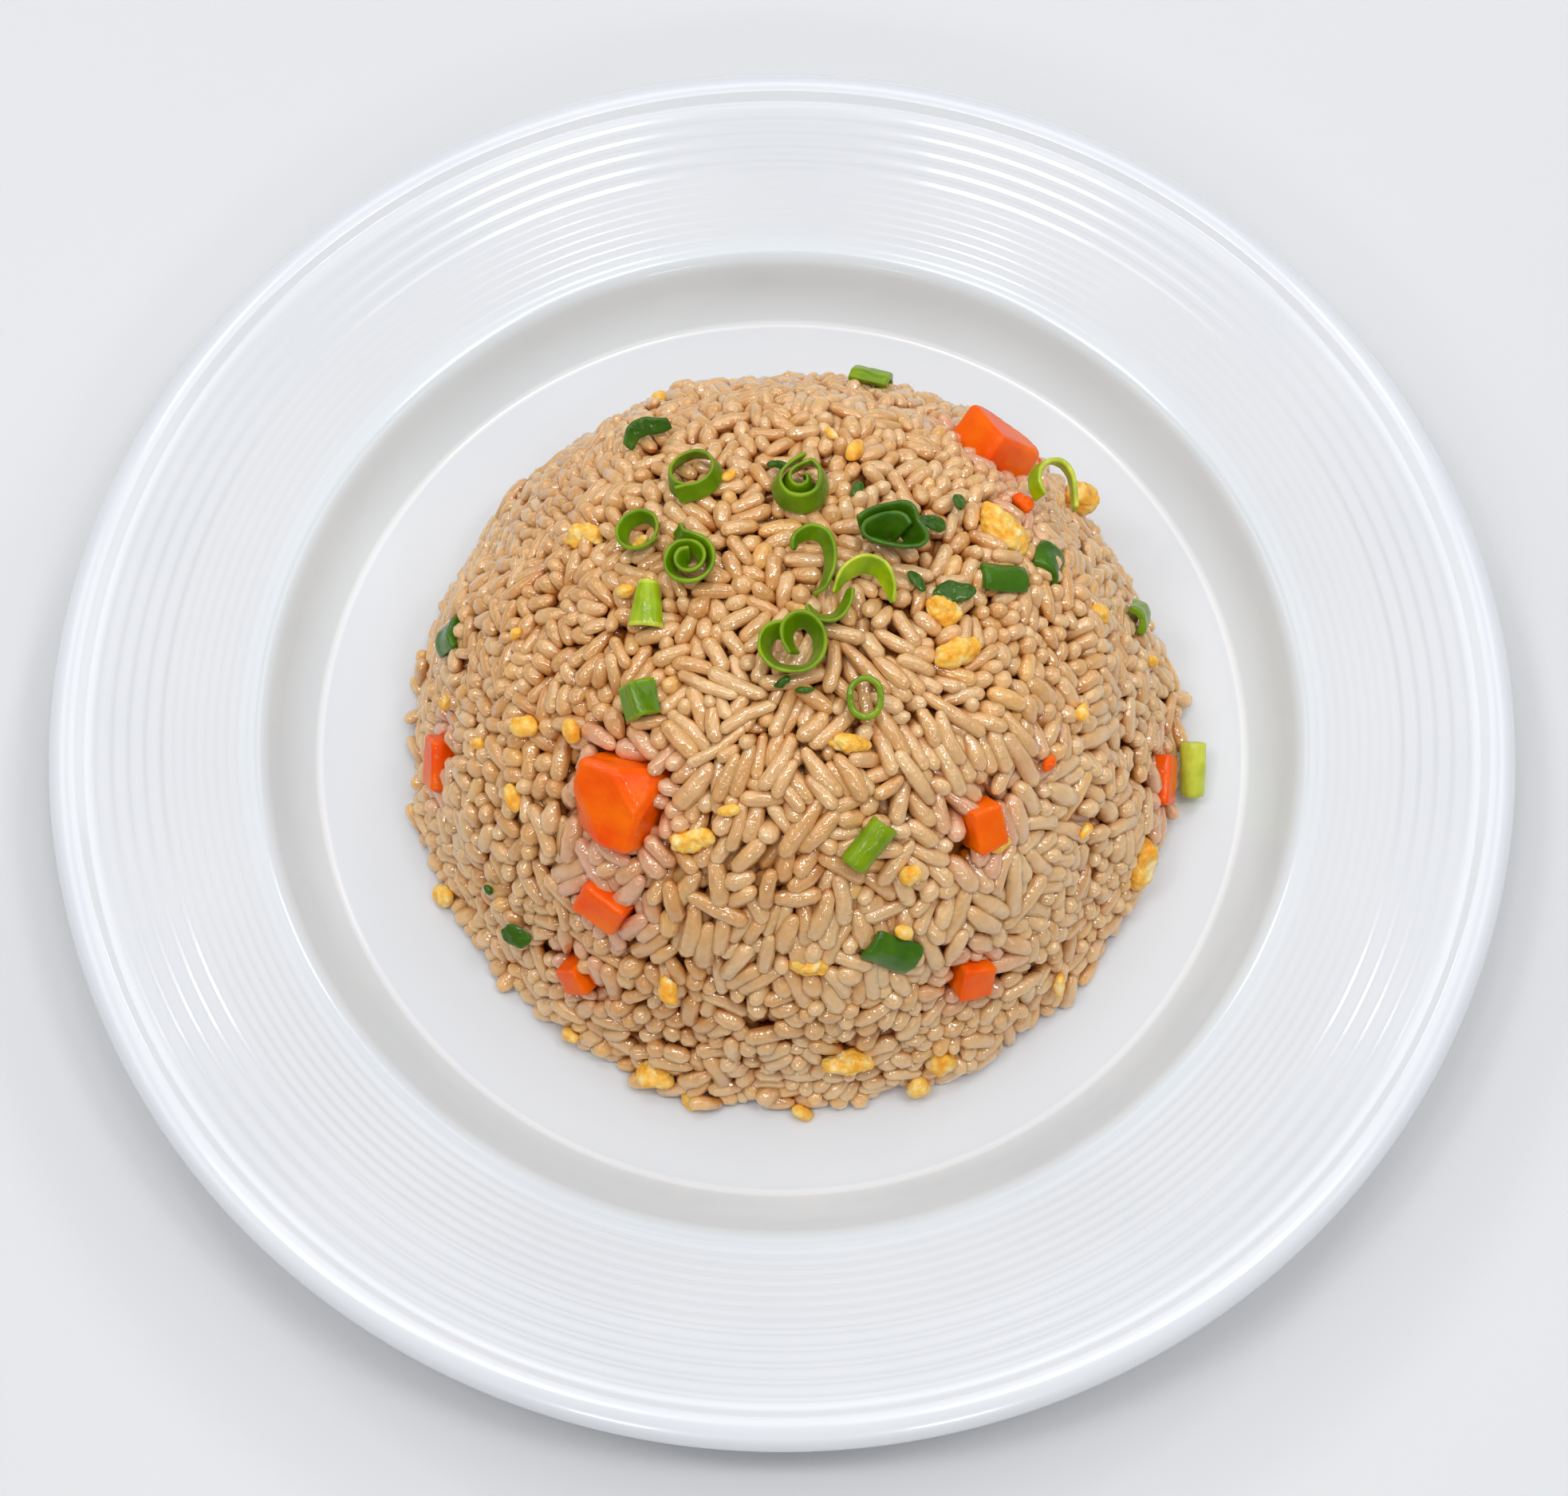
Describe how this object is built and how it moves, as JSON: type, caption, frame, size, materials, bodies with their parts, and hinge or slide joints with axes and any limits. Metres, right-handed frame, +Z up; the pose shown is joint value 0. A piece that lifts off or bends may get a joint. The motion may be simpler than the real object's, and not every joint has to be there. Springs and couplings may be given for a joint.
{
  "type": "plate of fried rice",
  "caption": "Dome of fried rice with diced carrot, scrambled egg and sliced scallion, turned out of a bowl onto a round white plate with a ribbed rim.",
  "frame": {"origin": "middle of the plate's foot, at the bottom", "axes": "+Z up along the plate's axis; the side shown in the reference view is -Y"},
  "size_m": [0.23, 0.23, 0.0682],
  "materials": {
    "white_glaze": "glossy white glaze",
    "cooked_rice": "moist, slightly see-through cooked rice, pale tan with brown in the gaps",
    "carrot": "wet orange cooked carrot",
    "egg": "soft crinkled yellow egg",
    "scallion": "fresh green scallion with a waxy skin",
    "dark_scallion": "wet dark green scallion leaf",
    "pale_scallion": "light green scallion stalk"
  },
  "bodies": {
    "root": {"carrot_back": "carrot", "carrot_below": "carrot", "carrot_front": "carrot", "carrot_front_low": "carrot", "carrot_large": "carrot", "carrot_left": "carrot", "carrot_low": "carrot", "carrot_right": "carrot", "egg_back": "egg", "egg_foot_left": "egg", "egg_foot_right": "egg", "egg_front": "egg", "egg_front_foot": "egg", "egg_front_left": "egg", "egg_left": "egg", "egg_middle": "egg", "egg_right_lower": "egg", "egg_right_side": "egg", "egg_right_upper": "egg", "egg_top_right": "egg", "plate": "white_glaze", "rice_heap": "cooked_rice", "scallion_arch_back": "dark_scallion", "scallion_chop_left": "scallion", "scallion_crescent_top": "pale_scallion", "scallion_cup_top": "scallion", "scallion_curl_top": "scallion", "scallion_folded_right": "dark_scallion", "scallion_leaf_front": "dark_scallion", "scallion_leaf_left": "dark_scallion", "scallion_leaf_right": "dark_scallion", "scallion_leaf_right_end": "dark_scallion", "scallion_loop_right": "pale_scallion", "scallion_ring_front": "scallion", "scallion_ring_left": "scallion", "scallion_ring_small": "scallion", "scallion_rolled_back": "scallion", "scallion_rolled_front": "scallion", "scallion_rolled_left": "scallion", "scallion_side_right": "scallion", "scallion_stalk_front": "pale_scallion", "scallion_stalk_right": "pale_scallion", "scallion_stub": "pale_scallion", "scallion_wedge_back": "scallion"}
  },
  "joints": []
}
